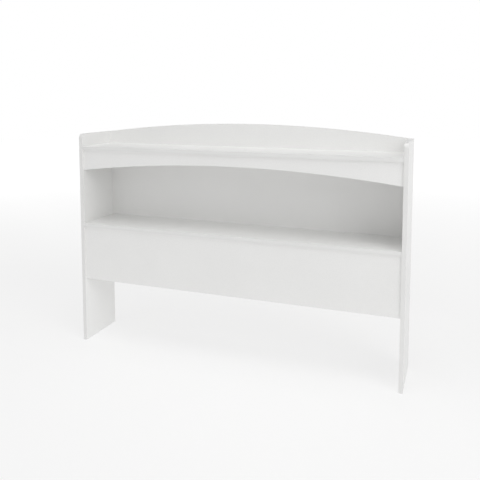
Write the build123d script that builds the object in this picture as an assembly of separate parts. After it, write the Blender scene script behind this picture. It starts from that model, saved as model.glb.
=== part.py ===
from build123d import *
import os

# Bookcase headboard for a double bed: white laminated boards, knock-down cam and dowel fittings.
# Millimetres. +X is the width, -Y faces the bed, +Z is up; the origin is on the floor, centred.

# Overall sizes
WIDTH = 1422.0
SIDE_HEIGHT = 948.0
SIDE_DEPTH = 238.0
BOARD = 16.0              # every laminated board
BACK_THICKNESS = 3.0      # hardboard nailed over the back edges
CORNER_RADIUS = 20.0      # top front corner of each side
BAND = 0.5                # glued edge band on each board's visible edges

# Levels
TOP_SHELF_TOP = 893.0
LOWER_SHELF_TOP = 543.5
PANEL_BOTTOM = 288.5
ARCH_PEAK = 994.0
APRON_END = 785.5         # apron's lower edge where it meets the sides
APRON_CROWN = 830.0       # apron's lower edge at mid-width

# Setbacks of the front faces from the front edges of the sides
SHELF_SETBACK = 2.0
APRON_SETBACK = 8.0
PANEL_SETBACK = 7.0

# Cam fittings: a turning housing in one board pulls on a bolt screwed into the side
CAM_RADIUS = 7.5
CAM_DEPTH = 12.2
CAM_INSET = 34.0          # from the board's end to the housing's centre
CAM_RECESS = 0.2          # housing's face below the board's face
CAM_CROSS = 7.0           # driver cross across its arms
CAM_CROSS_WIDTH = 1.4
CAM_CROSS_DEPTH = 2.0
CAM_THROAT = 6.8          # slot that takes the bolt's head
BOLT_STEPS = [(3.6, 1.5), (2.5, 24.5), (1.8, 5.0), (3.0, 4.5)]   # collar, shank, neck, head
BOLT_THREAD = (3.2, 11.0)
BOLT_BORE = 4.0           # bore along the board to the housing
COVER_RADIUS = 8.75
COVER_THICKNESS = 1.2
COVER_PEG = (0.6, 1.6)    # radius and length of the peg in the driver cross

# Dowels
DOWEL_RADIUS = 4.0
DOWEL_LENGTH = 30.0
DOWEL_IN_SIDE = 12.0
DOWEL_IN_SHELF = 10.0
DOWEL_CHAMFER = 0.8
FIT = 0.1                 # radial room round every fitting
END_ROOM = 0.5            # room at the bottom of every blind bore

# Screws, brackets and nails
LONG_SCREW = {"head": 4.8, "head_depth": 3.0, "shank": 2.4, "length": 45.0}
SHORT_SCREW = {"head": 3.8, "head_depth": 2.2, "shank": 1.9, "length": 14.0}
SCREW_HEAD_TAPER = 1.2    # chamfer under each screw's head
BRACKET_SCREW_REACH = 15.0    # from the bracket's corner to each screw
BRACKET = 25.0            # length of each leg, and its width
BRACKET_WALL = 4.0
BRACKET_WEB = 2.5
NAIL_RADIUS = 0.8
NAIL_LENGTH = 20.0
NAIL_HEAD = (1.9, 0.8)
BACK_INSET = 4.0          # back panel inside the sides' outer faces
BACK_LAP = 14.0           # how far the back panel laps each shelf's back edge

# Places of the fittings
SHELF_CAM_DEPTHS = (64.0, 174.0)      # from the sides' front edges
SHELF_DOWEL_DEPTHS = (32.0, 206.0)
PANEL_CAM_LEVELS = (330.0, 486.0)
PANEL_DOWEL_LEVEL = 408.0
APRON_CAM_LEVEL = 852.0
APRON_DOWEL_LEVEL = 815.0
ARCH_CAM_LEVEL = 913.0
ARCH_DOWEL_LEVEL = 935.0
EDGE_DOWEL_PLACES = (-450.0, -150.0, 150.0, 450.0)
ARCH_DOWEL_PLACES = (-570.0, -190.0, 190.0, 570.0)
ARCH_SCREW_PLACES = (-380.0, 0.0, 380.0)
BRACKET_PLACES = (-300.0, 300.0)
BACK_NAIL_COUNT = 8
BACK_NAIL_PITCH = 190.0
SIDE_NAIL_LEVELS = (625.0, 714.0, 803.0)

# Derived planes
INNER = WIDTH / 2 - BOARD
FRONT = -(SIDE_DEPTH + BACK_THICKNESS) / 2
BACK_EDGE = FRONT + SIDE_DEPTH
TOP_SHELF_UNDER = TOP_SHELF_TOP - BOARD
LOWER_SHELF_UNDER = LOWER_SHELF_TOP - BOARD
TOP_SHELF_MID = TOP_SHELF_TOP - BOARD / 2
LOWER_SHELF_MID = LOWER_SHELF_TOP - BOARD / 2
ARCH_MID = BACK_EDGE - BOARD / 2
APRON_BACK = FRONT + APRON_SETBACK + BOARD
APRON_MID = APRON_BACK - BOARD / 2
PANEL_BACK = FRONT + PANEL_SETBACK + BOARD
PANEL_MID = PANEL_BACK - BOARD / 2

SIDES = (-1, 1)
UP = (0, 0, 1)
DOWN = (0, 0, -1)
REAR = (0, 1, 0)
BED_SIDE = (0, -1, 0)

SHELF_CAMS = [FRONT + depth for depth in SHELF_CAM_DEPTHS]
SHELF_DOWELS = [FRONT + depth for depth in SHELF_DOWEL_DEPTHS]


# ---- basic shapes -------------------------------------------------------------------------

def block(x, y, z):
    """A box from ranges (low, high) along each axis."""
    centre = Pos((x[0] + x[1]) / 2, (y[0] + y[1]) / 2, (z[0] + z[1]) / 2)
    return centre * Box(x[1] - x[0], y[1] - y[0], z[1] - z[0])


def rod(radius, length, start, direction):
    """A cylinder that starts at a point and runs along a direction."""
    end_aligned = (Align.CENTER, Align.CENTER, Align.MIN)
    return Plane(origin=start, z_dir=direction) * Cylinder(radius, length, align=end_aligned)


def cut(board, tools):
    """The board with every tool taken out of it."""
    for tool in tools:
        board = board - tool
    return board


def side_point(side, y, z):
    """A point on a side panel's inner face."""
    return (side * INNER, y, z)


# ---- bores that the fittings sit in ---------------------------------------------------------

def bolt_hole_in_side(side, y, z):
    radius, length = BOLT_THREAD
    return rod(radius + FIT, length + END_ROOM, side_point(side, y, z), (side, 0, 0))


def dowel_hole_in_side(side, y, z):
    return rod(DOWEL_RADIUS + FIT, DOWEL_IN_SIDE + END_ROOM, side_point(side, y, z), (side, 0, 0))


def dowel_hole_in_end(side, y, z):
    depth = DOWEL_LENGTH - DOWEL_IN_SIDE + END_ROOM
    return rod(DOWEL_RADIUS + FIT, depth, side_point(side, y, z), (-side, 0, 0))


def cam_centre(side, y, z, face):
    """The housing's centre on the board's face that it is turned from."""
    half = BOARD / 2
    return (side * (INNER - CAM_INSET), y + face[1] * half, z + face[2] * half)


def cam_holes(side, y, z, face):
    """The housing's pocket, and the bore from the board's end to it."""
    inward = (0, -face[1], -face[2])
    pocket = rod(CAM_RADIUS + FIT, CAM_DEPTH + CAM_RECESS + FIT, cam_centre(side, y, z, face), inward)
    bore = rod(BOLT_BORE, CAM_INSET, side_point(side, y, z), (-side, 0, 0))
    return [pocket, bore]


def vertical_dowel_holes(x, y, joint, shelf_direction):
    """Bores for a dowel across a level joint: short into the shelf, long into the upright."""
    upright = (0, 0, -shelf_direction[2])
    in_shelf = rod(DOWEL_RADIUS + FIT, DOWEL_IN_SHELF + END_ROOM, (x, y, joint), shelf_direction)
    in_upright = rod(DOWEL_RADIUS + FIT, DOWEL_LENGTH - DOWEL_IN_SHELF + END_ROOM, (x, y, joint), upright)
    return in_shelf, in_upright


def screw_hole(screw, start, direction):
    """A countersunk bore for a screw whose head is flush with its start."""
    head = rod(screw["head"] + FIT, screw["head_depth"] + FIT, start, direction)
    shank = rod(screw["shank"] + FIT, screw["length"] + END_ROOM, start, direction)
    return head + shank


# ---- fittings -------------------------------------------------------------------------------

def dowel(start, direction):
    """A glued dowel with eased ends."""
    peg = rod(DOWEL_RADIUS, DOWEL_LENGTH, start, direction)
    return chamfer(peg.edges().filter_by(GeomType.CIRCLE), DOWEL_CHAMFER)


def side_dowel(side, y, z):
    return dowel((side * (INNER + DOWEL_IN_SIDE), y, z), (-side, 0, 0))


def cam_bolt(side, y, z):
    """Threaded into the side, with a head that the housing grips."""
    radius, length = BOLT_THREAD
    bolt = rod(radius, length, side_point(side, y, z), (side, 0, 0))
    reached = 0.0
    for radius, length in BOLT_STEPS:
        bolt += rod(radius, length, (side * (INNER - reached), y, z), (-side, 0, 0))
        reached += length
    return bolt


def cam(side, y, z, face):
    """A turning housing: driver cross on its face, and a throat for the bolt's head."""
    place = Plane(origin=cam_centre(side, y, z, face), x_dir=(side, 0, 0), z_dir=face)
    body = Pos(0, 0, -CAM_RECESS - CAM_DEPTH / 2) * Cylinder(CAM_RADIUS, CAM_DEPTH)
    throat_start = -CAM_THROAT / 2
    throat_length = CAM_RADIUS - throat_start
    throat = Pos(throat_start + throat_length / 2, 0, -BOARD / 2) * Box(throat_length, CAM_THROAT, CAM_THROAT)
    cross_place = Pos(0, 0, -CAM_RECESS - CAM_CROSS_DEPTH / 2)
    arm = cross_place * Box(CAM_CROSS, CAM_CROSS_WIDTH, CAM_CROSS_DEPTH)
    other_arm = cross_place * Box(CAM_CROSS_WIDTH, CAM_CROSS, CAM_CROSS_DEPTH)
    return place * (body - throat - arm - other_arm)


def cam_cover(side, y, z, face):
    """A push-in cap over a housing that shows."""
    centre = cam_centre(side, y, z, face)
    cap = rod(COVER_RADIUS, COVER_THICKNESS, centre, face)
    outer_rim = cap.edges().filter_by(GeomType.CIRCLE).sort_by(Axis(centre, face))[-1]
    cap = chamfer(outer_rim, COVER_THICKNESS / 2)
    radius, length = COVER_PEG
    return cap + rod(radius, length, centre, (0, -face[1], -face[2]))


def screw(sizes, start, direction):
    """A flat-headed screw whose head starts at a point."""
    head = rod(sizes["head"], sizes["head_depth"], start, direction)
    inner_rim = head.edges().filter_by(GeomType.CIRCLE).sort_by(Axis(start, direction))[-1]
    head = chamfer(inner_rim, SCREW_HEAD_TAPER)
    return head + rod(sizes["shank"], sizes["length"], start, direction)


def bracket(x):
    """A moulded corner bracket: two walls with a web between them."""
    upright = block((x - BRACKET / 2, x + BRACKET / 2), (PANEL_BACK, PANEL_BACK + BRACKET_WALL),
                    (LOWER_SHELF_UNDER - BRACKET, LOWER_SHELF_UNDER))
    level = block((x - BRACKET / 2, x + BRACKET / 2), (PANEL_BACK, PANEL_BACK + BRACKET),
                  (LOWER_SHELF_UNDER - BRACKET_WALL, LOWER_SHELF_UNDER))
    body = upright + level
    for edge in (-1, 1):
        outline = Plane.YZ.offset(x + edge * (BRACKET - BRACKET_WEB) / 2 - BRACKET_WEB / 2)
        corner = (PANEL_BACK, LOWER_SHELF_UNDER)
        web = Polyline(corner, (PANEL_BACK + BRACKET, LOWER_SHELF_UNDER),
                       (PANEL_BACK, LOWER_SHELF_UNDER - BRACKET), close=True)
        body += extrude(outline * make_face(web), BRACKET_WEB)
    return cut(body, [screw_hole(SHORT_SCREW, start, way) for start, way in bracket_screw_axes(x)])


def bracket_screw_axes(x):
    """Where a bracket's two screws start, and the way they go."""
    reach = BRACKET_SCREW_REACH
    into_panel = ((x, PANEL_BACK + BRACKET_WALL, LOWER_SHELF_UNDER - reach), BED_SIDE)
    into_shelf = ((x, PANEL_BACK + reach, LOWER_SHELF_UNDER - BRACKET_WALL), UP)
    return [into_panel, into_shelf]


def nail(x, z):
    """A round nail driven flush into the back panel."""
    start = (x, BACK_EDGE + BACK_THICKNESS, z)
    radius, length = NAIL_HEAD
    return rod(radius, length, start, BED_SIDE) + rod(NAIL_RADIUS, NAIL_LENGTH, start, BED_SIDE)


def nail_hole(x, z):
    start = (x, BACK_EDGE + BACK_THICKNESS, z)
    radius, length = NAIL_HEAD
    head = rod(radius + FIT, length + FIT, start, BED_SIDE)
    return head + rod(NAIL_RADIUS + FIT, NAIL_LENGTH + END_ROOM, start, BED_SIDE)


# ---- where each kind of fitting goes ----------------------------------------------------------

TOP_SHELF_CAMS = [(side, y, TOP_SHELF_MID) for side in SIDES for y in SHELF_CAMS]
TOP_SHELF_DOWELS = [(side, y, TOP_SHELF_MID) for side in SIDES for y in SHELF_DOWELS]
LOWER_SHELF_CAMS = [(side, y, LOWER_SHELF_MID) for side in SIDES for y in SHELF_CAMS]
LOWER_SHELF_DOWELS = [(side, y, LOWER_SHELF_MID) for side in SIDES for y in SHELF_DOWELS]
ARCH_CAMS = [(side, ARCH_MID, ARCH_CAM_LEVEL) for side in SIDES]
ARCH_END_DOWELS = [(side, ARCH_MID, ARCH_DOWEL_LEVEL) for side in SIDES]
APRON_CAMS = [(side, APRON_MID, APRON_CAM_LEVEL) for side in SIDES]
APRON_END_DOWELS = [(side, APRON_MID, APRON_DOWEL_LEVEL) for side in SIDES]
PANEL_CAMS = [(side, PANEL_MID, z) for side in SIDES for z in PANEL_CAM_LEVELS]
PANEL_END_DOWELS = [(side, PANEL_MID, PANEL_DOWEL_LEVEL) for side in SIDES]

ALL_CAMS = TOP_SHELF_CAMS + LOWER_SHELF_CAMS + ARCH_CAMS + APRON_CAMS + PANEL_CAMS
ALL_END_DOWELS = (TOP_SHELF_DOWELS + LOWER_SHELF_DOWELS + ARCH_END_DOWELS
                  + APRON_END_DOWELS + PANEL_END_DOWELS)

BACK_NAIL_START = -BACK_NAIL_PITCH * (BACK_NAIL_COUNT - 1) / 2
SHELF_NAILS = [(BACK_NAIL_START + BACK_NAIL_PITCH * count, z)
               for z in (TOP_SHELF_MID, LOWER_SHELF_MID) for count in range(BACK_NAIL_COUNT)]
SIDE_NAILS = [(side * (INNER + BOARD / 2), z) for side in SIDES for z in SIDE_NAIL_LEVELS]
NAILS = SHELF_NAILS + SIDE_NAILS


# ---- boards -------------------------------------------------------------------------------------

def side_outline(inset):
    """A side's outline seen from its end, with every banded edge moved in by inset."""
    low, high = FRONT + inset, SIDE_HEIGHT - inset
    radius = CORNER_RADIUS - inset
    front = Line((low, 0), (low, high - radius))
    corner = RadiusArc((low, high - radius), (low + radius, high), radius)
    rest = Polyline((low + radius, high), (BACK_EDGE, high), (BACK_EDGE, 0), (low, 0))
    return make_face(front + corner + rest)


def side_slab(side, outline):
    """An outline given a side board's thickness, in its place."""
    low_x = INNER if side > 0 else -WIDTH / 2
    return extrude(Plane.YZ.offset(low_x) * outline, BOARD)


def side_panel(side):
    holes = [bolt_hole_in_side(*place) for place in ALL_CAMS if place[0] == side]
    holes += [dowel_hole_in_side(*place) for place in ALL_END_DOWELS if place[0] == side]
    holes += [nail_hole(x, z) for x, z in SIDE_NAILS if x * side > 0]
    return cut(side_slab(side, side_outline(BAND)), holes)


def side_band(side):
    return side_slab(side, side_outline(0) - side_outline(BAND))


def shelf_blank(top):
    return block((-INNER, INNER), (FRONT + SHELF_SETBACK + BAND, BACK_EDGE), (top - BOARD, top))


def shelf_band(top):
    front = FRONT + SHELF_SETBACK
    return block((-INNER, INNER), (front, front + BAND), (top - BOARD, top))


def shelf(top, cams, dowels, more_holes):
    holes = [hole for place in cams for hole in cam_holes(*place, DOWN)]
    holes += [dowel_hole_in_end(*place) for place in dowels]
    holes += [nail_hole(x, z) for x, z in SHELF_NAILS if top - BOARD < z < top]
    return cut(shelf_blank(top), holes + more_holes)


def top_shelf():
    holes = [vertical_dowel_holes(x, APRON_MID, TOP_SHELF_UNDER, UP)[0] for x in EDGE_DOWEL_PLACES]
    holes += [vertical_dowel_holes(x, ARCH_MID, TOP_SHELF_TOP, DOWN)[0] for x in ARCH_DOWEL_PLACES]
    holes += [screw_hole(LONG_SCREW, (x, ARCH_MID, TOP_SHELF_UNDER), UP) for x in ARCH_SCREW_PLACES]
    return shelf(TOP_SHELF_TOP, TOP_SHELF_CAMS, TOP_SHELF_DOWELS, holes)


def lower_shelf():
    holes = [vertical_dowel_holes(x, PANEL_MID, LOWER_SHELF_UNDER, UP)[0] for x in EDGE_DOWEL_PLACES]
    for x in BRACKET_PLACES:
        holes.append(screw_hole(SHORT_SCREW, *bracket_screw_axes(x)[1]))
    return shelf(LOWER_SHELF_TOP, LOWER_SHELF_CAMS, LOWER_SHELF_DOWELS, holes)


def upright_slab(back, outline):
    """An outline in X and Z given a board's thickness, with its rear face at back."""
    return extrude(Plane.XZ.offset(-back) * outline, BOARD)


def arch_outline(inset):
    """Straight foot on the shelf, and one arc over the top from side to side."""
    end, peak = SIDE_HEIGHT - inset, ARCH_PEAK - inset
    over = ThreePointArc((INNER, end), (0, peak), (-INNER, end))
    foot = Polyline((-INNER, end), (-INNER, TOP_SHELF_TOP), (INNER, TOP_SHELF_TOP), (INNER, end))
    return make_face(over + foot)


def arched_back_board():
    holes = [hole for place in ARCH_CAMS for hole in cam_holes(*place, REAR)]
    holes += [dowel_hole_in_end(*place) for place in ARCH_END_DOWELS]
    holes += [vertical_dowel_holes(x, ARCH_MID, TOP_SHELF_TOP, DOWN)[1] for x in ARCH_DOWEL_PLACES]
    holes += [screw_hole(LONG_SCREW, (x, ARCH_MID, TOP_SHELF_UNDER), UP) for x in ARCH_SCREW_PLACES]
    return cut(upright_slab(BACK_EDGE, arch_outline(BAND)), holes)


def arch_band():
    return upright_slab(BACK_EDGE, arch_outline(0) - arch_outline(BAND))


def apron_outline(inset):
    """Straight top under the shelf, and one shallow arc cut up into the lower edge."""
    end, crown = APRON_END + inset, APRON_CROWN + inset
    under = ThreePointArc((-INNER, end), (0, crown), (INNER, end))
    top = Polyline((INNER, end), (INNER, TOP_SHELF_UNDER), (-INNER, TOP_SHELF_UNDER), (-INNER, end))
    return make_face(under + top)


def front_apron():
    holes = [hole for place in APRON_CAMS for hole in cam_holes(*place, REAR)]
    holes += [dowel_hole_in_end(*place) for place in APRON_END_DOWELS]
    holes += [vertical_dowel_holes(x, APRON_MID, TOP_SHELF_UNDER, UP)[1] for x in EDGE_DOWEL_PLACES]
    return cut(upright_slab(APRON_BACK, apron_outline(BAND)), holes)


def apron_band():
    return upright_slab(APRON_BACK, apron_outline(0) - apron_outline(BAND))


def lower_front_panel():
    panel = block((-INNER, INNER), (PANEL_BACK - BOARD, PANEL_BACK),
                  (PANEL_BOTTOM + BAND, LOWER_SHELF_UNDER))
    holes = [hole for place in PANEL_CAMS for hole in cam_holes(*place, REAR)]
    holes += [dowel_hole_in_end(*place) for place in PANEL_END_DOWELS]
    holes += [vertical_dowel_holes(x, PANEL_MID, LOWER_SHELF_UNDER, UP)[1] for x in EDGE_DOWEL_PLACES]
    for x in BRACKET_PLACES:
        holes.append(screw_hole(SHORT_SCREW, *bracket_screw_axes(x)[0]))
    return cut(panel, holes)


def lower_panel_band():
    return block((-INNER, INNER), (PANEL_BACK - BOARD, PANEL_BACK), (PANEL_BOTTOM, PANEL_BOTTOM + BAND))


def back_panel():
    half = WIDTH / 2 - BACK_INSET
    panel = block((-half, half), (BACK_EDGE, BACK_EDGE + BACK_THICKNESS),
                  (LOWER_SHELF_TOP - BACK_LAP, TOP_SHELF_UNDER + BACK_LAP))
    return cut(panel, [nail_hole(x, z) for x, z in NAILS])


# ---- every node of the assembly -------------------------------------------------------------------

def level_joint_dowels(places, y, joint, shelf_direction):
    """Dowels across a level joint between a shelf and an upright board."""
    start = joint + DOWEL_IN_SHELF * shelf_direction[2]
    return [dowel((x, y, start), (0, 0, -shelf_direction[2])) for x in places]


parts = {
    "left_side_panel": [side_panel(-1)],
    "right_side_panel": [side_panel(1)],
    "top_shelf": [top_shelf()],
    "lower_shelf": [lower_shelf()],
    "arched_back_board": [arched_back_board()],
    "front_apron": [front_apron()],
    "lower_front_panel": [lower_front_panel()],
    "back_panel": [back_panel()],
    "left_side_edge_band": [side_band(-1)],
    "right_side_edge_band": [side_band(1)],
    "top_shelf_edge_band": [shelf_band(TOP_SHELF_TOP)],
    "lower_shelf_edge_band": [shelf_band(LOWER_SHELF_TOP)],
    "arch_edge_band": [arch_band()],
    "apron_edge_band": [apron_band()],
    "lower_panel_edge_band": [lower_panel_band()],
    "top_shelf_cams": [cam(*place, DOWN) for place in TOP_SHELF_CAMS],
    "lower_shelf_cams": [cam(*place, DOWN) for place in LOWER_SHELF_CAMS],
    "arch_board_cams": [cam(*place, REAR) for place in ARCH_CAMS],
    "apron_cams": [cam(*place, REAR) for place in APRON_CAMS],
    "lower_panel_cams": [cam(*place, REAR) for place in PANEL_CAMS],
    "top_shelf_cam_bolts": [cam_bolt(*place) for place in TOP_SHELF_CAMS],
    "lower_shelf_cam_bolts": [cam_bolt(*place) for place in LOWER_SHELF_CAMS],
    "arch_board_cam_bolts": [cam_bolt(*place) for place in ARCH_CAMS],
    "apron_cam_bolts": [cam_bolt(*place) for place in APRON_CAMS],
    "lower_panel_cam_bolts": [cam_bolt(*place) for place in PANEL_CAMS],
    "top_shelf_dowels": [side_dowel(*place) for place in TOP_SHELF_DOWELS],
    "lower_shelf_dowels": [side_dowel(*place) for place in LOWER_SHELF_DOWELS],
    "arch_board_end_dowels": [side_dowel(*place) for place in ARCH_END_DOWELS],
    "arch_board_foot_dowels": level_joint_dowels(ARCH_DOWEL_PLACES, ARCH_MID, TOP_SHELF_TOP, DOWN),
    "apron_end_dowels": [side_dowel(*place) for place in APRON_END_DOWELS],
    "apron_top_dowels": level_joint_dowels(EDGE_DOWEL_PLACES, APRON_MID, TOP_SHELF_UNDER, UP),
    "lower_panel_end_dowels": [side_dowel(*place) for place in PANEL_END_DOWELS],
    "lower_panel_top_dowels": level_joint_dowels(EDGE_DOWEL_PLACES, PANEL_MID, LOWER_SHELF_UNDER, UP),
    "arch_board_screws": [screw(LONG_SCREW, (x, ARCH_MID, TOP_SHELF_UNDER), UP) for x in ARCH_SCREW_PLACES],
    "corner_brackets": [bracket(x) for x in BRACKET_PLACES],
    "bracket_screws": [screw(SHORT_SCREW, *axis) for x in BRACKET_PLACES for axis in bracket_screw_axes(x)],
    "top_shelf_cam_covers": [cam_cover(*place, DOWN) for place in TOP_SHELF_CAMS],
    "apron_cam_covers": [cam_cover(*place, REAR) for place in APRON_CAMS],
    "back_panel_nails": [nail(x, z) for x, z in NAILS],
}

os.makedirs("parts", exist_ok=True)
for node, solids in parts.items():
    shape = solids[0] if len(solids) == 1 else Compound(children=solids)
    export_step(shape, f"parts/{node}.step")
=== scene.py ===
import math

import bmesh
import bpy
from mathutils import Matrix, Vector


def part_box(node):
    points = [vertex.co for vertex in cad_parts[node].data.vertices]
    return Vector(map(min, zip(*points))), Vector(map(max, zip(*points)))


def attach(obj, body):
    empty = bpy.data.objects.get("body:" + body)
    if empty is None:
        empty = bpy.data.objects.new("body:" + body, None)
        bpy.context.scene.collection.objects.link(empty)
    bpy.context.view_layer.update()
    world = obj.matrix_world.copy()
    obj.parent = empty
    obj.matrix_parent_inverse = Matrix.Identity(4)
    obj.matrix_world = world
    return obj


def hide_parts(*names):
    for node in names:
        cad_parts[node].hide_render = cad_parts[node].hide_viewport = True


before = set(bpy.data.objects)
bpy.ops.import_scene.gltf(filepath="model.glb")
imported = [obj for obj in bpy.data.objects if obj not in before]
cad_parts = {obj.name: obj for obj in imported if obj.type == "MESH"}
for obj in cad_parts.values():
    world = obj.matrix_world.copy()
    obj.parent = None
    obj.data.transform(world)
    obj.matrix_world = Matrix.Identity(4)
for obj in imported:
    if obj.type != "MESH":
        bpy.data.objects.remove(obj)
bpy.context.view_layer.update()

# A white laminated bookcase headboard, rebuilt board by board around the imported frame.
# The frame is in metres; the sizes of small details are written in millimetres times MM.

MM = 0.001
EASE = 0.2 * MM            # softening of every board's edges
BAND_EASE = 0.12 * MM      # softening of the thin edge bands
BRACKET_EASE = 0.4 * MM    # softening of the moulded brackets
MOUTH = 0.15 * MM          # easing of every bore's mouth
FIT = 0.1 * MM             # room round each fitting
END_ROOM = 0.5 * MM        # room beyond each fitting's tip
TOUCH = 0.01 * MM          # boxes closer than this only touch
SLIVER = 0.001 * MM        # edges shorter than this are closed up
CORNER_RADIUS = 20 * MM    # top front corner of each side
BOLT_BORE = 4 * MM         # bore from a board's end to its cam
ARC_STEPS = 128
CORNER_STEPS = 20
ROUND_STEPS = 48
SHARP = math.radians(35)   # edges sharper than this are drawn sharp
FACING = 0.5               # share of an axis in the normal of a face that looks along it

X, Y, Z = 0, 1, 2
UP = Vector((0, 0, 1))
DOWN = Vector((0, 0, -1))
REAR = Vector((0, 1, 0))
RIGHT = Vector((1, 0, 0))


# ---- reading the frame ----------------------------------------------------------------------

def solid_boxes(node):
    """The lowest and highest corner of every separate solid in a CAD node."""
    mesh = bmesh.new()
    mesh.from_mesh(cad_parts[node].data)
    bmesh.ops.remove_doubles(mesh, verts=mesh.verts, dist=TOUCH)
    boxes, seen = [], set()
    for start in mesh.verts:
        if start in seen:
            continue
        seen.add(start)
        points, waiting = [], [start]
        while waiting:
            vertex = waiting.pop()
            points.append(vertex.co.copy())
            for edge in vertex.link_edges:
                other = edge.other_vert(vertex)
                if other not in seen:
                    seen.add(other)
                    waiting.append(other)
        low = Vector([min(point[axis] for point in points) for axis in (X, Y, Z)])
        high = Vector([max(point[axis] for point in points) for axis in (X, Y, Z)])
        boxes.append((low, high))
    mesh.free()
    return sorted(boxes, key=lambda box: tuple(round(value, 5) for value in box[0]))


def middle(box):
    return (box[0] + box[1]) / 2


def extent(node):
    """The size of one solid of a fitting node."""
    low, high = solid_boxes(node)[0]
    return high - low


BAND_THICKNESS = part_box("left_side_panel")[0].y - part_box("left_side_edge_band")[0].y
SIDE_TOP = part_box("left_side_edge_band")[1].z
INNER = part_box("right_side_panel")[0].x
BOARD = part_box("right_side_panel")[1].x - INNER

CAM_SIZE = extent("arch_board_cams")
CAM_RADIUS = CAM_SIZE.x / 2
BOLT_SIZE = extent("arch_board_cam_bolts")
DOWEL_SIZE = extent("apron_top_dowels")
LONG_SCREW_SIZE = extent("arch_board_screws")
SHORT_SCREW_SIZE = extent("bracket_screws")
NAIL_SIZE = extent("back_panel_nails")
COVER_SIZE = extent("apron_cam_covers")
BRACKET_SIZE = extent("corner_brackets")


# ---- materials ------------------------------------------------------------------------------

NOISE_LOW, NOISE_HIGH = 0.25, 0.75     # where nearly all of a noise's values lie


def remap(tree, value, from_low, from_high, low, high):
    """Maps a socket's range to another. low and high are numbers or sockets."""
    made = tree.nodes.new("ShaderNodeMapRange")
    made.inputs["From Min"].default_value = from_low
    made.inputs["From Max"].default_value = from_high
    for name, limit in (("To Min", low), ("To Max", high)):
        if isinstance(limit, (int, float)):
            made.inputs[name].default_value = limit
        else:
            tree.links.new(limit, made.inputs[name])
    tree.links.new(value, made.inputs["Value"])
    return made.outputs["Result"]


class Shader:
    """A node material, with the few links that every finish here needs."""

    def __init__(self, name, colour, roughness, metallic=0.0, specular=0.5):
        self.material = bpy.data.materials.new(name)
        self.material.use_nodes = True
        self.tree = self.material.node_tree
        self.surface = self.tree.nodes["Principled BSDF"]
        self.surface.inputs["Base Color"].default_value = (*colour, 1)
        self.surface.inputs["Roughness"].default_value = roughness
        self.surface.inputs["Metallic"].default_value = metallic
        self.surface.inputs["Specular IOR Level"].default_value = specular
        self.place = self.node("ShaderNodeTexCoord").outputs["Object"]
        self.normal = None

    def node(self, kind, **settings):
        made = self.tree.nodes.new(kind)
        for key, value in settings.items():
            setattr(made, key, value)
        return made

    def stretched(self, scale):
        """The place in the frame, scaled along each axis."""
        mapping = self.node("ShaderNodeMapping")
        mapping.inputs["Scale"].default_value = scale
        self.tree.links.new(self.place, mapping.inputs["Vector"])
        return mapping.outputs["Vector"]

    def noise(self, scale, detail=2.0, roughness=0.5, stretch=(1, 1, 1)):
        made = self.node("ShaderNodeTexNoise")
        made.inputs["Scale"].default_value = scale
        made.inputs["Detail"].default_value = detail
        made.inputs["Roughness"].default_value = roughness
        self.tree.links.new(self.stretched(stretch), made.inputs["Vector"])
        return made.outputs["Fac"]

    def cells(self, scale, feature="F1", output="Distance"):
        made = self.node("ShaderNodeTexVoronoi", feature=feature)
        made.inputs["Scale"].default_value = scale
        self.tree.links.new(self.place, made.inputs["Vector"])
        return made.outputs[output]

    def weave(self, scale, direction):
        """The slightly uneven threads of a screen that run across one axis."""
        made = self.node("ShaderNodeTexWave", wave_type="BANDS", bands_direction=direction)
        made.inputs["Scale"].default_value = scale
        made.inputs["Distortion"].default_value = 0.8
        self.tree.links.new(self.place, made.inputs["Vector"])
        return made.outputs["Fac"]

    def remap(self, value, from_low, from_high, low, high):
        return remap(self.tree, value, from_low, from_high, low, high)

    def part(self, vector, axis):
        """One coordinate of a vector."""
        made = self.node("ShaderNodeSeparateXYZ")
        self.tree.links.new(vector, made.inputs["Vector"])
        return made.outputs[axis]

    def ramp(self, value, stops):
        """A colour ramp with (position, colour) stops."""
        made = self.node("ShaderNodeValToRGB")
        elements = made.color_ramp.elements
        while len(elements) < len(stops):
            elements.new(0.5)
        for element, (position, colour) in zip(elements, stops):
            element.position = position
            element.color = (*colour, 1)
        self.tree.links.new(value, made.inputs["Fac"])
        return made.outputs["Color"]

    def blend(self, first, second, amount, kind="MIX"):
        """Two colours mixed by a number or by another socket."""
        made = self.node("ShaderNodeMix", data_type="RGBA", blend_type=kind)
        factor, first_input, second_input = (
            next(socket for socket in made.inputs if socket.identifier == name)
            for name in ("Factor_Float", "A_Color", "B_Color"))
        self.tree.links.new(first, first_input)
        self.tree.links.new(second, second_input)
        if isinstance(amount, float):
            factor.default_value = amount
        else:
            self.tree.links.new(amount, factor)
        return next(socket for socket in made.outputs if socket.identifier == "Result_Color")

    def colour(self, socket):
        self.tree.links.new(socket, self.surface.inputs["Base Color"])

    def rough(self, value, low, high):
        """Lets the roughness run from low to high as a noise does."""
        spread = self.remap(value, NOISE_LOW, NOISE_HIGH, low, high)
        self.tree.links.new(spread, self.surface.inputs["Roughness"])

    def bump(self, value, distance, strength):
        """Adds a layer of relief over the layers before it."""
        made = self.node("ShaderNodeBump")
        made.inputs["Distance"].default_value = distance
        made.inputs["Strength"].default_value = strength
        self.tree.links.new(value, made.inputs["Height"])
        if self.normal is not None:
            self.tree.links.new(self.normal, made.inputs["Normal"])
        self.normal = made.outputs["Normal"]
        self.tree.links.new(self.normal, self.surface.inputs["Normal"])


def tinted(colour, factor):
    return tuple(channel * factor for channel in colour)


WHITE = (0.90, 0.899, 0.889)


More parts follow.
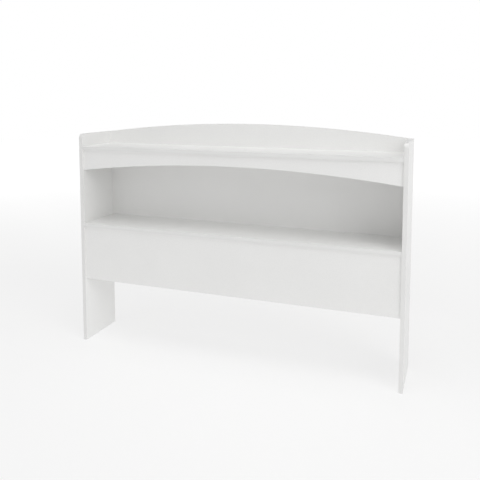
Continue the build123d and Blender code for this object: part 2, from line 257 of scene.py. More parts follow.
def melamine():
    """Satin white melamine: a fine pearled press texture, and the faintest cloudiness."""
    made = Shader("white_melamine", WHITE, 0.4)
    clouds = made.noise(3.5, detail=4.0, roughness=0.6)
    cloud_tone = made.ramp(clouds, [(0.3, tinted(WHITE, 0.975)), (0.7, tinted(WHITE, 1.02))])
    fleck_tone = made.ramp(made.noise(420.0), [(0.35, tinted(WHITE, 0.95)), (0.6, tinted(WHITE, 1.025))])
    made.colour(made.blend(cloud_tone, fleck_tone, 0.4))
    made.rough(made.noise(9.0, detail=4.0), 0.33, 0.48)
    made.bump(made.noise(5.0, detail=1.0), 0.25 * MM, strength=0.35)
    made.bump(made.cells(420.0, "SMOOTH_F1"), 0.16 * MM, strength=0.7)
    made.bump(made.noise(1500.0), 0.03 * MM, strength=0.6)
    return made.material


def edge_band():
    """Plastic edge band: a touch smoother than the boards, drawn out along its length. Its white is set a
    little darker than the boards': partly the band's own tone, partly painted shade on the front edges.
    """
    # painted shade: the band's tone is the boards' white darkened, partly to deepen the shade of the front
    # edges
    tone = tinted(WHITE, 0.935)
    made = Shader("white_edge_band", tone, 0.36)
    drawn = made.noise(60.0, detail=3.0, stretch=(0.15, 4.0, 0.15))
    made.colour(made.ramp(drawn, [(0.3, tinted(tone, 0.985)), (0.7, tinted(tone, 1.008))]))
    made.rough(drawn, 0.32, 0.42)
    made.bump(drawn, 0.05 * MM, strength=0.4)
    made.bump(made.cells(900.0, "SMOOTH_F1"), 0.03 * MM, strength=0.4)
    return made.material


def particle_board(name, axis, low, high):
    """Sawn particle board: coarse chips in the core, fine dust towards both faces."""
    tan, dark, pale = (0.52, 0.385, 0.245), (0.29, 0.19, 0.105), (0.70, 0.56, 0.385)
    chip_scale = 330.0
    dust_ends, chips_start = 0.2, 0.5      # shares of the way from a face to the middle
    made = Shader(name, tan, 0.85, specular=0.25)
    from_low = made.remap(made.part(made.place, axis), low, (low + high) / 2, 0, 1)
    from_high = made.remap(made.part(made.place, axis), high, (low + high) / 2, 0, 1)
    nearer = made.node("ShaderNodeMath", operation="MINIMUM")
    made.tree.links.new(from_low, nearer.inputs[0])
    made.tree.links.new(from_high, nearer.inputs[1])
    core = made.remap(nearer.outputs["Value"], dust_ends, chips_start, 0.0, 1.0)
    chips = made.cells(chip_scale, output="Color")
    chip_tone = made.ramp(chips, [(0.2, dark), (0.5, tan), (0.8, pale)])
    dust = made.noise(1400.0, detail=4.0, roughness=0.6)
    dust_tone = made.ramp(dust, [(0.3, tinted(tan, 0.75)), (0.7, tinted(tan, 1.15))])
    made.colour(made.blend(dust_tone, made.blend(chip_tone, dust_tone, 0.35), core))
    made.bump(made.cells(chip_scale), 0.35 * MM, strength=0.7)
    made.bump(dust, 0.15 * MM, strength=0.8)
    return made.material


def hardboard_face():
    """The white foil on the hardboard's niche side, set lighter than the boards' white as painted light that
    lifts the shade of the niche.
    """
    # painted light: the foil's tone is raised above the boards' white to brighten the shaded niche
    tone = tinted(WHITE, 1.035)
    made = Shader("hardboard_white_foil", tone, 0.5)
    clouds = made.noise(3.0, detail=3.0)
    made.colour(made.ramp(clouds, [(0.3, tinted(tone, 0.985)), (0.7, tinted(tone, 1.01))]))
    made.rough(made.noise(14.0, detail=3.0), 0.44, 0.56)
    made.bump(made.noise(1.6, detail=1.0), 0.8 * MM, strength=0.3)
    made.bump(made.noise(800.0, detail=3.0), 0.04 * MM, strength=0.6)
    return made.material


def hardboard_rear():
    """Pressed brown fibre, with the print of the screen it was pressed on."""
    brown, dark, pale = (0.235, 0.138, 0.075), (0.135, 0.073, 0.037), (0.335, 0.212, 0.123)
    made = Shader("hardboard_brown_fibre", brown, 0.7, specular=0.3)
    fibre = made.noise(220.0, detail=6.0, roughness=0.65)
    fibre_tone = made.ramp(fibre, [(0.3, dark), (0.55, brown), (0.75, pale)])
    blotch = made.ramp(made.noise(6.0, detail=4.0), [(0.3, (0.82, 0.80, 0.78)), (0.7, (1.0, 1.0, 1.0))])
    made.colour(made.blend(fibre_tone, blotch, 0.8, "MULTIPLY"))
    made.rough(fibre, 0.6, 0.82)
    for direction in ("X", "Z"):
        made.bump(made.weave(130.0, direction), 0.12 * MM, strength=0.7)
    made.bump(fibre, 0.15 * MM, strength=0.6)
    return made.material


def metal(name, dark, light, roughness):
    """A plated or cast metal with a fine uneven skin."""
    grain = 260.0
    made = Shader(name, light, roughness, metallic=1.0)
    skin = made.noise(grain, detail=4.0, roughness=0.6)
    made.colour(made.ramp(skin, [(0.25, dark), (0.75, light)]))
    made.rough(skin, roughness * 0.8, roughness * 1.25)
    made.bump(made.noise(4 * grain), 0.03 * MM, strength=0.6)
    return made.material


def beech(name, stretch):
    """Raw beech dowel: short dark flecks along the grain."""
    made = Shader(name, (0.55, 0.36, 0.20), 0.7, specular=0.3)
    grain = made.noise(500.0, detail=4.0, roughness=0.6, stretch=stretch)
    made.colour(made.ramp(grain, [(0.3, (0.40, 0.24, 0.12)), (0.7, (0.62, 0.43, 0.26))]))
    made.rough(grain, 0.6, 0.8)
    made.bump(grain, 0.08 * MM, strength=0.6)
    return made.material


def moulded_plastic():
    """White moulded plastic with a light spark texture."""
    tone = (0.87, 0.87, 0.86)
    made = Shader("white_moulded_plastic", tone, 0.42)
    clouds = made.noise(40.0, detail=3.0)
    made.colour(made.ramp(clouds, [(0.3, tinted(tone, 0.98)), (0.7, tone)]))
    made.rough(clouds, 0.36, 0.5)
    made.bump(made.noise(2200.0), 0.03 * MM, strength=0.6)
    return made.material


MELAMINE = melamine()
BAND = edge_band()
FOIL = hardboard_face()
FIBRE = hardboard_rear()
CAST_ZINC = metal("cast_zinc", (0.30, 0.30, 0.31), (0.50, 0.50, 0.51), 0.5)
YELLOW_ZINC = metal("yellow_zinc_plate", (0.50, 0.44, 0.30), (0.66, 0.60, 0.45), 0.3)
BRIGHT_ZINC = metal("bright_zinc_plate", (0.46, 0.46, 0.47), (0.66, 0.66, 0.67), 0.3)
NAIL_STEEL = metal("nail_steel", (0.36, 0.36, 0.37), (0.58, 0.58, 0.59), 0.35)
GRAIN_STRETCH = 0.12
LEVEL_BEECH = beech("beech_level_grain", (GRAIN_STRETCH, 1, 1))
UPRIGHT_BEECH = beech("beech_upright_grain", (1, 1, GRAIN_STRETCH))
PLASTIC = moulded_plastic()


# ---- mesh building ----------------------------------------------------------------------------

def mark_sharp_edges(mesh):
    for edge in mesh.edges:
        edge.smooth = len(edge.link_faces) == 2 and edge.calc_face_angle() < SHARP


def new_object(name, mesh, materials):
    """Turns a bmesh into an object, smooth except over its sharp edges."""
    bmesh.ops.recalc_face_normals(mesh, faces=mesh.faces)
    mark_sharp_edges(mesh)
    for face in mesh.faces:
        face.smooth = True
    data = bpy.data.meshes.new(name)
    mesh.to_mesh(data)
    mesh.free()
    for material in materials:
        data.materials.append(material)
    made = bpy.data.objects.new(name, data)
    bpy.context.scene.collection.objects.link(made)
    return made


def apply_modifiers(made):
    """Fixes what an object's modifiers do into its mesh."""
    bpy.context.view_layer.update()
    evaluated = made.evaluated_get(bpy.context.evaluated_depsgraph_get())
    data = bpy.data.meshes.new_from_object(evaluated)
    made.modifiers.clear()
    made.data = data
    return made


def combine(made, mesh, operation):
    """Cuts a closed mesh out of an object, or joins it on. The cut faces get the second material."""
    for face in mesh.faces:
        face.material_index = 1
    tool = new_object("tool", mesh, list(made.data.materials))
    modifier = made.modifiers.new("combine", "BOOLEAN")
    modifier.operation = operation
    modifier.solver = "EXACT"
    modifier.object = tool
    apply_modifiers(made)
    bpy.data.objects.remove(tool)
    return made


def finished(made):
    """Sharp edges marked again after cutting, and large flat faces kept flat beside soft edges."""
    mesh = bmesh.new()
    mesh.from_mesh(made.data)
    bmesh.ops.dissolve_degenerate(mesh, edges=mesh.edges, dist=SLIVER)
    mark_sharp_edges(mesh)
    mesh.to_mesh(made.data)
    mesh.free()
    modifier = made.modifiers.new("weighted_normals", "WEIGHTED_NORMAL")
    modifier.keep_sharp = True
    modifier.weight = 100
    return apply_modifiers(made)


def loft(mesh, rings):
    """A closed solid from rings of points, each ring with as many points as the next."""
    rows = [[mesh.verts.new(point) for point in ring] for ring in rings]
    mesh.faces.new(list(reversed(rows[0])))
    mesh.faces.new(rows[-1])
    count = len(rows[0])
    for lower, upper in zip(rows, rows[1:]):
        for step in range(count):
            following = (step + 1) % count
            mesh.faces.new((lower[step], lower[following], upper[following], upper[step]))


def soften(mesh, ease, segments=3):
    """Rounds every sharp edge."""
    bmesh.ops.recalc_face_normals(mesh, faces=mesh.faces)
    sharp = [edge for edge in mesh.edges if edge.calc_face_angle() > SHARP]
    bmesh.ops.bevel(mesh, geom=sharp, offset=ease, segments=segments, profile=0.5, affect="EDGES")


def slab(outline, axes, low, high):
    """A flat outline given thickness. axes: those of the outline's two coordinates, then the thickness's."""
    rings = []
    for level in (low, high):
        ring = []
        for first, second in outline:
            point = Vector((0, 0, 0))
            point[axes[0]], point[axes[1]], point[axes[2]] = first, second, level
            ring.append(point)
        rings.append(ring)
    mesh = bmesh.new()
    loft(mesh, rings)
    return mesh


def rectangle(low, high, axes):
    """The outline of a box, seen along its third axis."""
    first, second = axes[:2]
    return [(low[first], low[second]), (high[first], low[second]),
            (high[first], high[second]), (low[first], high[second])]


def rod_mesh(start, direction, radius, length, mouth=0.0):
    """A closed cylinder. With a mouth, its start is flared to ease the edge of the bore it cuts."""
    turn = direction.to_track_quat("Z", "Y").to_matrix()
    levels = [(-mouth, radius + 2 * mouth), (mouth, radius)] if mouth else [(0.0, radius)]
    levels.append((length, radius))
    mesh = bmesh.new()
    rings = []
    for level, ring_radius in levels:
        ring = []
        for step in range(ROUND_STEPS):
            angle = 2 * math.pi * step / ROUND_STEPS
            spot = Vector((ring_radius * math.cos(angle), ring_radius * math.sin(angle), level))
            ring.append(start + turn @ spot)
        rings.append(ring)
    loft(mesh, rings)
    return mesh


def joined(meshes):
    """Several bmeshes in one."""
    whole = bmesh.new()
    for mesh in meshes:
        data = bpy.data.meshes.new("part")
        mesh.to_mesh(data)
        mesh.free()
        whole.from_mesh(data)
        bpy.data.meshes.remove(data)
    return whole


def drill(made, bores):
    """Cuts a group of bores that don't cross each other."""
    if bores:
        combine(made, joined([rod_mesh(*bore) for bore in bores]), "DIFFERENCE")


def settle(made, node):
    """Makes a finished piece stand for its CAD node, on the frame's one body."""
    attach(made, "root")
    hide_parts(node)
    return made


# ---- bores for the fittings -------------------------------------------------------------------

def crosses(rod, board):
    """True if a fitting's box and a board's box share some room."""
    return all(rod[0][axis] < board[1][axis] - TOUCH and rod[1][axis] > board[0][axis] + TOUCH
               for axis in (X, Y, Z))


def bore_for(rod, board, axis, radius):
    """The bore that a rod along one axis needs in a board: start, direction, radius, length, mouth."""
    from_low = rod[0][axis] < board[0][axis] + TOUCH
    through = from_low and rod[1][axis] > board[1][axis] - TOUCH
    start, direction = middle(rod), Vector((0, 0, 0))
    start[axis] = board[0][axis] if from_low else board[1][axis]
    direction[axis] = 1 if from_low else -1
    if through:
        reach = board[1][axis]
    else:
        reach = rod[1][axis] if from_low else rod[0][axis]
    return start, direction, radius, abs(reach - start[axis]) + END_ROOM, MOUTH


def bores_for(board_node, fitting_nodes, axis, radius):
    """The bores that a board needs for every rod of some fitting nodes that reaches into it."""
    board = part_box(board_node)
    rods = [rod for node in fitting_nodes for rod in solid_boxes(node)]
    return [bore_for(rod, board, axis, radius) for rod in rods
            if crosses(rod, board) and longest_axis(rod) == axis]


def longest_axis(box):
    size = box[1] - box[0]
    return max((X, Y, Z), key=lambda axis: size[axis])


def pockets_for(board_node, cam_node, out):
    """The round pockets for a board's cam housings, open on the face that out points from."""
    axis = Y if out.y else Z
    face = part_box(board_node)[1 if out[axis] > 0 else 0][axis]
    found = []
    for box in solid_boxes(cam_node):
        start = middle(box)
        start[axis] = face
        deep_end = box[0 if out[axis] > 0 else 1][axis]
        found.append((start, -out, CAM_RADIUS + FIT, abs(deep_end - face) + FIT, MOUTH))
    return found


# ---- boards -------------------------------------------------------------------------------------

# Radii of bolts, dowels, nails and screws, of the bores for them, and the depths of their heads.
BOLT_CREST = 3.2 * MM
SIDE_BOLT_BORE = BOLT_CREST + FIT
DOWEL_BORE = DOWEL_SIZE.x / 2 + FIT
NAIL_SHANK = 0.8 * MM
NAIL_BORE = NAIL_SHANK + FIT
NAIL_HEAD_DEPTH = 0.8 * MM
LONG_SHANK = 2.4 * MM
LONG_HEAD_DEPTH = 3.0 * MM
SHORT_SHANK = 1.9 * MM
SHORT_HEAD_DEPTH = 2.2 * MM

CAMMED = ["top_shelf", "lower_shelf", "arch_board", "apron", "lower_panel"]
BOLTS = [f"{board}_cam_bolts" for board in CAMMED]
END_DOWELS = ["top_shelf_dowels", "lower_shelf_dowels", "arch_board_end_dowels",
              "apron_end_dowels", "lower_panel_end_dowels"]
LEVEL_JOINT_DOWELS = ["arch_board_foot_dowels", "apron_top_dowels", "lower_panel_top_dowels"]


def laminated_board(name, node, outline, axes, bore_groups):
    """A board with white faces and raw edges, bored for its fittings, in its CAD node's place."""
    depth = axes[2]
    low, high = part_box(node)
    mesh = slab(outline, axes, low[depth], high[depth])
    soften(mesh, EASE)
    bmesh.ops.recalc_face_normals(mesh, faces=mesh.faces)
    for face in mesh.faces:
        face.material_index = 0 if abs(face.normal[depth]) > FACING else 1
    core = particle_board(f"{name}_core", depth, low[depth], high[depth])
    made = new_object(name, mesh, [MELAMINE, core])
    for group in bore_groups:
        drill(made, group)
    settle(finished(made), node)


def arc(half, end, crown):
    """Points of the arc through (-half, end), (0, crown) and (half, end), from left to right."""
    rise = crown - end
    radius = (half * half + rise * rise) / (2 * rise)
    spread = math.asin(half / radius)
    angles = [spread * (2 * step / ARC_STEPS - 1) for step in range(ARC_STEPS + 1)]
    return [(radius * math.sin(angle), crown - radius * (1 - math.cos(angle))) for angle in angles]


def side_edge(inset):
    """A side's visible edge in Y and Z: up its front from the floor, and back along its top."""
    low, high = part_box("left_side_edge_band")
    front, top, radius = low.y + inset, high.z - inset, CORNER_RADIUS - inset
    points = [(front, low.z)]
    for step in range(CORNER_STEPS + 1):
        angle = math.pi / 2 * step / CORNER_STEPS
        points.append((front + radius * (1 - math.cos(angle)), top - radius * (1 - math.sin(angle))))
    return points + [(high.y, top)]


def side_board(side):
    node = f"{side}_side_panel"
    outline = side_edge(BAND_THICKNESS) + [(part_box(node)[1].y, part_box(node)[0].z)]
    joints = bores_for(node, BOLTS, X, SIDE_BOLT_BORE) + bores_for(node, END_DOWELS, X, DOWEL_BORE)
    nails = bores_for(node, ["back_panel_nails"], Y, NAIL_BORE)
    laminated_board(f"{side}_side_board", node, outline, (Y, Z, X), [joints, nails])


def end_bores(node, group):
    """The bolt and dowel bores in a board's ends."""
    bolts = bores_for(node, [f"{group}_cam_bolts"], X, BOLT_BORE)
    return bolts + bores_for(node, END_DOWELS, X, DOWEL_BORE)


def shelf_board(node, more_groups):
    joints = bores_for(node, LEVEL_JOINT_DOWELS, Z, DOWEL_BORE)
    nails = bores_for(node, ["back_panel_nails"], Y, NAIL_BORE)
    pockets = pockets_for(node, f"{node}_cams", DOWN)
    outline = rectangle(*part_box(node), (X, Y))
    groups = [end_bores(node, node), pockets, joints, nails] + more_groups
    laminated_board(f"{node}_board", node, outline, (X, Y, Z), groups)


def top_shelf_board():
    screws = bores_for("top_shelf", ["arch_board_screws"], Z, LONG_SHANK + FIT)
    head_seats = seats("arch_board_screws", downward, LONG_SCREW_SIZE.x / 2 + FIT, LONG_HEAD_DEPTH + FIT)
    shelf_board("top_shelf", [screws, head_seats])


def lower_shelf_board():
    screws = bores_for("lower_shelf", ["bracket_screws"], Z, SHORT_SHANK + FIT)
    shelf_board("lower_shelf", [screws])


def upright_board(name, node, group, outline, more_bores):
    """A board on edge between the sides, with its cams turned from behind."""
    tops_and_feet = bores_for(node, LEVEL_JOINT_DOWELS, Z, DOWEL_BORE)
    bores = end_bores(node, group) + tops_and_feet + more_bores
    pockets = pockets_for(node, f"{group}_cams", REAR)
    laminated_board(name, node, outline, (X, Z, Y), [bores, pockets])


def arch_board():
    node = "arched_back_board"
    low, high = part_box(node)
    outline = [(low.x, low.z)] + arc(INNER, SIDE_TOP - BAND_THICKNESS, high.z) + [(high.x, low.z)]
    screws = bores_for(node, ["arch_board_screws"], Z, LONG_SHANK + FIT)
    upright_board("arch_board", node, "arch_board", outline, screws)


def apron_board():
    low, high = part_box("front_apron")
    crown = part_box("apron_edge_band")[1].z
    outline = [(low.x, high.z)] + arc(INNER, low.z, crown) + [(high.x, high.z)]
    upright_board("apron_board", "front_apron", "apron", outline, [])


def lower_panel_board():
    node = "lower_front_panel"
    outline = rectangle(*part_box(node), (X, Z))
    screws = bores_for(node, ["bracket_screws"], Y, SHORT_SHANK + FIT)
    upright_board("lower_panel_board", node, "lower_panel", outline, screws)


def back_board():
    """Hardboard, white towards the niche, and brown fibre behind and on its edges."""
    node = "back_panel"
    low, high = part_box(node)
    mesh = slab(rectangle(low, high, (X, Z)), (X, Z, Y), low.y, high.y)
    soften(mesh, EASE)
    bmesh.ops.recalc_face_normals(mesh, faces=mesh.faces)
    for face in mesh.faces:
        face.material_index = 0 if face.normal.y < -FACING else 1
    made = new_object("back_board", mesh, [FOIL, FIBRE])
    drill(made, bores_for(node, ["back_panel_nails"], Y, NAIL_BORE))
    drill(made, seats("back_panel_nails", rearward, NAIL_SIZE.x / 2 + FIT, NAIL_HEAD_DEPTH + FIT))
    settle(finished(made), node)


# ---- edge bands -----------------------------------------------------------------------------------

def band(name, node, outline, axes):
    low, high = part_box(node)
    mesh = slab(outline, axes, low[axes[2]], high[axes[2]])
    soften(mesh, BAND_EASE, segments=2)
    settle(finished(new_object(name, mesh, [BAND])), node)


def side_band(side):
    outline = side_edge(0.0) + list(reversed(side_edge(BAND_THICKNESS)))
    band(f"{side}_side_band", f"{side}_side_edge_band", outline, (Y, Z, X))


def straight_band(name):
    node = name.replace("band", "edge_band")
    band(name, node, rectangle(*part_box(node), (X, Z)), (X, Z, Y))


def arched_band(name, end, crown, inner_end, inner_crown):
    """A band along an arc, from its outer line to its inner one."""
    outline = arc(INNER, end, crown) + list(reversed(arc(INNER, inner_end, inner_crown)))
    band(name, name.replace("band", "edge_band"), outline, (X, Z, Y))


def arch_band():
    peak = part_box("arch_edge_band")[1].z
    arched_band("arch_band", SIDE_TOP, peak, SIDE_TOP - BAND_THICKNESS, peak - BAND_THICKNESS)


def apron_band():
    low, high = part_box("apron_edge_band")
    arched_band("apron_band", low.z, high.z - BAND_THICKNESS, low.z + BAND_THICKNESS, high.z)


# ---- fittings -------------------------------------------------------------------------------------
# A fitting's pattern lies in a frame of its own: its outer face at Z = 0, and its body below that.
# A cam also needs its X, which points towards the nearer end of the headboard.
# Profiles list (depth, radius) from the outer face down, in millimetres.

def inward(box):
    return -RIGHT if middle(box).x > 0 else RIGHT


def downward(box):
    return DOWN


def rearward(box):
    return REAR


def from_bracket(box):
    """A bracket's screws go forward into the panel, and up into the shelf."""
    return REAR if longest_axis(box) == Y else DOWN


def lengthwise(box):
    return UP if longest_axis(box) == Z else RIGHT


def frames_of(node, out_of):
    """A frame on the outer face of every solid in a node, with Z pointing out."""
    frames = []
    for box in solid_boxes(node):
        out, place = out_of(box), middle(box)
        for axis in (X, Y, Z):
            if out[axis]:
                place[axis] = box[1 if out[axis] > 0 else 0][axis]
        along = UP if out.x else math.copysign(1, place.x) * RIGHT
        turn = Matrix((along, out.cross(along), out)).transposed().to_4x4()
        frames.append(Matrix.Translation(place) @ turn)
    return frames


def seats(node, out_of, radius, depth):
    """Counterbores for the heads of screws or nails."""
    return [(place.translation, -place.col[Z].xyz, radius, depth, MOUTH)
            for place in frames_of(node, out_of)]


def placed(name, node, pattern, frames, materials=None):
    """One piece made of copies of a pattern, one in each frame, which stands for a fitting node."""
    copies = []
    for place in frames:
        copy = bmesh.new()
        copy.from_mesh(pattern.data)
        copy.transform(place)
        copies.append(copy)
    made = new_object(name, joined(copies), materials or list(pattern.data.materials))
    return settle(finished(made), node)


def turned(profile, segments, ripple=None):
    """A solid turned round Z from a profile. ripple(angle, depth) adds to the radius."""
    rings = []
    for depth, radius in profile:
        ring = []
        for step in range(segments):
            angle = 2 * math.pi * step / segments
            reach = radius + (ripple(angle, depth) if ripple else 0.0)
            ring.append(MM * Vector((reach * math.cos(angle), reach * math.sin(angle), -depth)))
        rings.append(ring)
    mesh = bmesh.new()
    loft(mesh, rings)
    return mesh


TURN_STEPS = 8             # profile points in one turn of a thread


def thread(start, end, pitch, height):
    """A right-hand thread's ridge over a core, as a ripple for turned()."""
    def ripple(angle, depth):
        if not start < depth < end:
            return 0.0
        phase = (depth / pitch + angle / (2 * math.pi)) % 1
        fade = min(1.0, (depth - start) / pitch, (end - depth) / pitch)
        return height * fade * max(0.0, 1 - 3 * abs(phase - 0.5))
    return ripple


def even_steps(start, end, radius, pitch):
    """Profile points close enough together for a thread's ridge to show."""
    count = math.ceil((end - start) / pitch * TURN_STEPS)
    return [(start + (end - start) * step / count, radius) for step in range(count + 1)]


def cross_tool(span, width, depth):
    """A cross that tapers as it goes down, to cut a driver recess."""
    arm, half = span / 2, width / 2
    quarter = [(arm, -half), (arm, half), (half, half)]
    outline = []
    for turn in range(4):
        for first, second in quarter:
            for _ in range(turn):
                first, second = -second, first
            outline.append((first, second))
    above, taper = 0.2, 0.55
    rings = [[MM * Vector((scale * first, scale * second, level)) for first, second in outline]
             for level, scale in ((-depth, taper), (0.0, 1.0), (above, 1.0))]
    mesh = bmesh.new()
    loft(mesh, rings)
    return mesh


def sector(radius, turns):
    """Points of an arc round the origin."""
    return [(radius * math.cos(angle), radius * math.sin(angle)) for angle in turns]


def cam_pattern():
    """A die-cast housing: rim, driver cross, arrow, throat for the bolt's head, and its track."""
    radius, depth = CAM_RADIUS / MM, CAM_SIZE.y / MM
    waist = radius - 0.2
    profile = [(0.0, radius - 0.3), (0.3, radius), (1.6, radius), (1.9, waist),
               (depth - 0.5, waist), (depth, radius - 0.7)]
    made = new_object("cam_pattern", turned(profile, 64), [CAST_ZINC])
    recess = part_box("arched_back_board")[1].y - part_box("arch_board_cams")[1].y
    level = recess - BOARD / 2
    combine(made, cross_tool(span=7.0, width=1.4, depth=2.0), "DIFFERENCE")
    throat = 3.4 * MM
    combine(made, rod_mesh(Vector((-throat, 0, level)), RIGHT, throat, 2 * CAM_RADIUS), "DIFFERENCE")
    turns = [math.radians(150) * step / 20 for step in range(21)]
    track = sector(9.0 * MM, turns) + sector(4.6 * MM, reversed(turns))
    half_track = 2.0 * MM
    combine(made, slab(track, (X, Y, Z), level - half_track, level + half_track), "DIFFERENCE")
    point, tail, half_width, engraved = 6.5 * MM, 4.9 * MM, 0.9 * MM, 0.3 * MM
    arrow = [(point, 0.0), (tail, half_width), (tail, -half_width)]
    return combine(made, slab(arrow, (X, Y, Z), -engraved, engraved), "DIFFERENCE")


def bolt_pattern():
    """A cam bolt from its head down: head, neck, shank, collar, and a coarse thread for the side."""
    length, collar = BOLT_SIZE.x / MM, BOLT_SIZE.z / 2 / MM
    seat, tip = length - 11.0, length - 1.5
    head, neck, shank, core, pitch = 3.0, 1.8, 2.5, 2.45, 2.2
    profile = [(0.0, 2.0), (0.5, 2.8), (1.0, head), (3.6, head), (4.5, 1.9), (4.9, neck), (9.1, neck),
               (9.6, shank), (seat - 1.9, shank), (seat - 1.5, collar - 0.3), (seat - 1.2, collar),
               (seat - 0.2, collar), (seat, collar - 0.2), (seat, core)]
    profile += even_steps(seat + 0.1, tip, core, pitch) + [(length, 1.4)]
    mesh = turned(profile, 32, thread(seat, tip + 1.0, pitch, BOLT_CREST / MM - core))
    made = new_object("bolt_pattern", mesh, [YELLOW_ZINC])
    return combine(made, cross_tool(span=3.4, width=0.8, depth=2.0), "DIFFERENCE")


def screw_pattern(size, head_depth, shank, plain, pitch):
    """A countersunk cross-head screw, plain under its head and threaded to its point."""
    length, head = max(size) / MM, min(size) / 2 / MM
    head_depth, shank = head_depth / MM, shank / MM
    core, tip = 0.7 * shank, length - 2 * shank
    profile = [(0.0, head - 0.2), (0.15, head), (0.2 * head_depth, head), (head_depth, shank),
               (plain, shank), (plain + 0.5, core)]
    profile += even_steps(plain + 0.6, tip, core, pitch) + [(length, 0.15)]
    mesh = turned(profile, 32, thread(plain + 0.4, tip + 0.5 * pitch, pitch, shank - core))
    made = new_object("screw_pattern", mesh, [BRIGHT_ZINC])
    recess = cross_tool(span=1.1 * head, width=0.24 * head, depth=0.75 * head_depth)
    return combine(made, recess, "DIFFERENCE")


def dowel_pattern():
    """A beech dowel with pressed flutes and eased ends."""
    radius, length = DOWEL_SIZE.x / 2 / MM, DOWEL_SIZE.z / MM
    flutes, groove = 16, 0.25
    easing = [(0.0, radius - 1.0), (0.5, radius - 0.35), (1.2, radius)]
    profile = easing + [(length - depth, reach) for depth, reach in reversed(easing)]
    mesh = turned(profile, 6 * flutes, lambda angle, depth: -groove * max(0.0, math.cos(flutes * angle)))
    return new_object("dowel_pattern", mesh, [LEVEL_BEECH])


def nail_pattern():
    """A round nail: flat head, and a shank with a blunt point."""
    head, shank, length = NAIL_SIZE.x / 2 / MM, NAIL_SHANK / MM, NAIL_SIZE.y / MM
    profile = [(0.0, head - 0.15), (0.12, head), (0.5, head), (0.8, head - 0.5), (1.1, shank),
               (length - 1.8, shank), (length, 0.15)]
    return new_object("nail_pattern", turned(profile, 32), [NAIL_STEEL])


def cover_pattern():
    """A press-in cap: a low dome with a rounded rim, and a peg for the driver cross."""
    rim, peg, length = COVER_SIZE.x / 2 / MM, 0.6, COVER_SIZE.y / MM
    profile = [(0.0, 2.5), (0.04, 4.5), (0.14, 6.4), (0.3, 7.7), (0.5, 8.4), (0.75, rim - 0.08),
               (0.95, rim), (1.2, rim - 0.1), (1.2, peg), (length - 0.3, peg), (length, 0.35)]
    return new_object("cover_pattern", turned(profile, 64), [PLASTIC])


def corner_brackets():
    """Moulded brackets under the lower shelf: two walls, a web at each end, and countersunk holes."""
    reach, half, wall, web = BRACKET_SIZE.z, BRACKET_SIZE.x / 2, 4 * MM, 2.5 * MM
    angle = [(0.0, 0.0), (reach, 0.0), (reach, -wall), (wall, -wall), (wall, -reach), (0.0, -reach)]
    gusset = [(0.0, 0.0), (reach, 0.0), (0.0, -reach)]
    pattern = new_object("bracket_pattern", slab(angle, (Y, Z, X), -half, half), [PLASTIC])
    for low_x, high_x in ((-half, web - half), (half - web, half)):
        combine(pattern, slab(gusset, (Y, Z, X), low_x, high_x), "UNION")
    mesh = bmesh.new()
    mesh.from_mesh(pattern.data)
    bmesh.ops.dissolve_limit(mesh, angle_limit=math.radians(1), verts=mesh.verts, edges=mesh.edges)
    soften(mesh, BRACKET_EASE, segments=2)
    mesh.to_mesh(pattern.data)
    mesh.free()
    corners = [Matrix.Translation((middle(box).x, box[0].y, box[1].z))
               for box in solid_boxes("corner_brackets")]
    made = placed("corner_bracket_pair", "corner_brackets", pattern, corners)
    bpy.data.objects.remove(pattern)
    head_bore = min(SHORT_SCREW_SIZE) / 2 + FIT
    drill(made, seats("bracket_screws", from_bracket, SHORT_SHANK + FIT, wall + END_ROOM))
    drill(made, seats("bracket_screws", from_bracket, head_bore, SHORT_HEAD_DEPTH + FIT))
    finished(made)


def fittings():
    cam, bolt, dowel = cam_pattern(), bolt_pattern(), dowel_pattern()
    nail, cover = nail_pattern(), cover_pattern()
    long_screw = screw_pattern(LONG_SCREW_SIZE, LONG_HEAD_DEPTH, LONG_SHANK, plain=14.0, pitch=2.4)
    short_screw = screw_pattern(SHORT_SCREW_SIZE, SHORT_HEAD_DEPTH, SHORT_SHANK, plain=3.0, pitch=1.5)
    for board in CAMMED:
        out_of = downward if board.endswith("shelf") else rearward
        cams, bolts = f"{board}_cams", f"{board}_cam_bolts"
        placed(f"{board}_cam_housings", cams, cam, frames_of(cams, out_of))
        placed(f"{board}_bolts", bolts, bolt, frames_of(bolts, inward))
    for node in END_DOWELS + LEVEL_JOINT_DOWELS:
        name, frames = node.replace("dowels", "pegs"), frames_of(node, lengthwise)
        wood = [LEVEL_BEECH if node in END_DOWELS else UPRIGHT_BEECH]
        placed(name, node, dowel, frames, wood)
    for name, node, slot, pattern, out_of in (
            ("arch_board_long_screws", "arch_board_screws", "plated_screw", long_screw, downward),
            ("bracket_short_screws", "bracket_screws", "plated_screw", short_screw, from_bracket),
            ("top_shelf_caps", "top_shelf_cam_covers", "white_plastic", cover, downward),
            ("apron_caps", "apron_cam_covers", "white_plastic", cover, rearward),
            ("back_board_nails", "back_panel_nails", "nail_steel", nail, rearward)):
        placed(name, node, pattern, frames_of(node, out_of))
    for pattern in (cam, bolt, dowel, nail, cover, long_screw, short_screw):
        bpy.data.objects.remove(pattern)


# ---- the object ---------------------------------------------------------------------------------

for side in ("left", "right"):
    side_board(side)
    side_band(side)
top_shelf_board()
lower_shelf_board()
arch_board()
apron_board()
lower_panel_board()
back_board()
for name in ("top_shelf_band", "lower_shelf_band", "lower_panel_band"):
    straight_band(name)
arch_band()
apron_band()
fittings()
corner_brackets()


# ---- floor, light and camera ----------------------------------------------------------------------

AIM = Vector((0, 0, 0.6))
FLOOR_RADIUS = 13.0
FLOOR_GREY = 0.3
GLOW_NEAR, GLOW_FAR = 1.2, 5.5         # the floor's glow changes between these distances

# How brightly each part of the studio glows, where 1 is white.
FLOOR_NEAR = 0.68
FLOOR_LIT = 0.13                       # what the far floor shows of the light that falls on it
HORIZON_BEHIND = 1.0
HORIZON_BEFORE = 0.58
CEILING_BEHIND = 0.28
CEILING_BEFORE = 0.56

# A direction counts as before or behind the object past these sines, and as wall or ceiling likewise.
BEFORE, BEHIND = -0.6, 0.6
WALL_ENDS, CEILING_STARTS = 0.2, 0.3


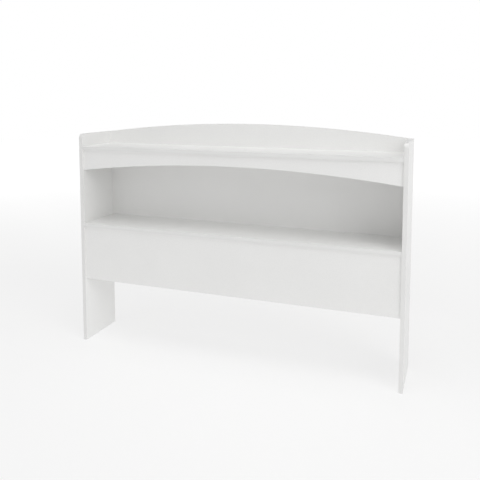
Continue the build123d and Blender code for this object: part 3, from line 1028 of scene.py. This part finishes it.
def horizon_glow(tree, toward_back, lit=0.0):
    """The glow of the horizon in one direction, less the light that already falls there."""
    return remap(tree, toward_back, BEFORE, BEHIND, HORIZON_BEFORE - lit, HORIZON_BEHIND - lit)


def studio_floor():
    """A pale floor that glows softly, so its shadows stay faint, and meets the horizon without a line."""
    made = Shader("studio_floor", (FLOOR_GREY,) * 3, 0.9, specular=0.1)
    darker, lighter = (0.99 * FLOOR_GREY,) * 3, (1.01 * FLOOR_GREY,) * 3
    made.colour(made.ramp(made.noise(1.5), [(0.3, darker), (0.7, lighter)]))
    reach = made.node("ShaderNodeVectorMath", operation="LENGTH")
    outward = made.node("ShaderNodeVectorMath", operation="NORMALIZE")
    for measure in (reach, outward):
        made.tree.links.new(made.place, measure.inputs["Vector"])
    far_glow = horizon_glow(made.tree, made.part(outward.outputs["Vector"], "Y"), FLOOR_LIT)
    glow = made.remap(reach.outputs["Value"], GLOW_NEAR, GLOW_FAR, FLOOR_NEAR, far_glow)
    made.surface.inputs["Emission Color"].default_value = (1, 1, 1, 1)
    made.tree.links.new(glow, made.surface.inputs["Emission Strength"])
    mesh = bmesh.new()
    bmesh.ops.create_circle(mesh, cap_ends=True, segments=96, radius=FLOOR_RADIUS)
    new_object("floor", mesh, [made.material])


def studio_light(name, place, size, power):
    """A square softbox, turned to the middle of the object."""
    light = bpy.data.lights.new(name, "AREA")
    light.size = size
    light.energy = power
    lamp = bpy.data.objects.new(name, light)
    lamp.location = place
    lamp.visible_camera = False
    lamp.rotation_euler = (AIM - Vector(place)).to_track_quat("-Z", "Y").to_euler()
    bpy.context.scene.collection.objects.link(lamp)


def studio_world():
    """A white horizon behind the object and a grey one before it, under a ceiling brighter before it."""
    world = bpy.data.worlds.new("studio")
    world.use_nodes = True
    tree = world.node_tree
    place = tree.nodes.new("ShaderNodeTexCoord")
    parts = tree.nodes.new("ShaderNodeSeparateXYZ")
    tree.links.new(place.outputs["Generated"], parts.inputs["Vector"])
    horizon = horizon_glow(tree, parts.outputs["Y"])
    ceiling = remap(tree, parts.outputs["Y"], BEFORE, BEHIND, CEILING_BEFORE, CEILING_BEHIND)
    glow = remap(tree, parts.outputs["Z"], WALL_ENDS, CEILING_STARTS, horizon, ceiling)
    tree.links.new(glow, tree.nodes["Background"].inputs["Strength"])
    tree.nodes["Background"].inputs["Color"].default_value = (1, 1, 1, 1)
    bpy.context.scene.world = world


def studio_camera(place, down, heading, lens, shift):
    """The camera at the front, tilted down and turned towards the left end, by angles in degrees."""
    camera = bpy.data.cameras.new("camera")
    camera.lens = lens
    camera.shift_y = shift
    holder = bpy.data.objects.new("camera", camera)
    holder.location = place
    holder.rotation_euler = (math.radians(90 - down), 0, math.radians(heading))
    bpy.context.scene.collection.objects.link(holder)
    bpy.context.scene.camera = holder


studio_floor()
studio_world()
studio_light("top_light", place=(0.0, -0.69, 4.54), size=2.6, power=56.0)
studio_light("right_light", place=(2.84, -1.99, 2.6), size=2.0, power=31.0)
studio_camera(place=(0.885, -2.3235, 1.122), down=5.24, heading=20.59, lens=44.18, shift=-0.19)
bpy.context.scene.view_settings.view_transform = "Standard"
